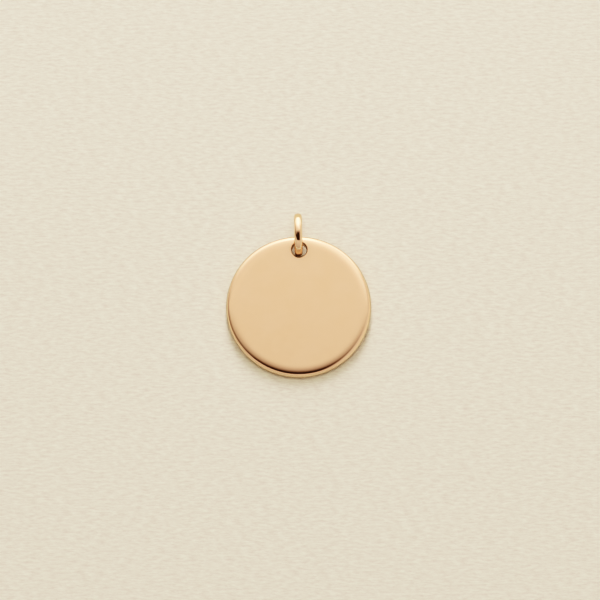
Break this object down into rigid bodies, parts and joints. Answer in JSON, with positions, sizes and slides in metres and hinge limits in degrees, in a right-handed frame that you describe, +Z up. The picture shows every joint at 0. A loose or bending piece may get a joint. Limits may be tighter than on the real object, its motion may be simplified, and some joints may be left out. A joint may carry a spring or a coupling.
{
  "type": "disc pendant",
  "caption": "Plain polished round disc pendant with a hole near its rim and a closed round-wire jump ring through it, lying on a surface.",
  "frame": {"origin": "on the surface that the pendant lies on, under the middle of its length and width", "axes": "+Y from the disc towards the jump ring, +Z up off the surface, +X across the disc to the right"},
  "size_m": [0.016, 0.0184, 0.0048],
  "materials": {
    "disc_gold": "pale yellow gold plate, fine polish with a soft haze on the face",
    "ring_gold": "pale yellow gold plate, mirror polish on round wire"
  },
  "bodies": {
    "root": {"disc": "disc_gold", "jump_ring": "ring_gold"}
  },
  "joints": []
}
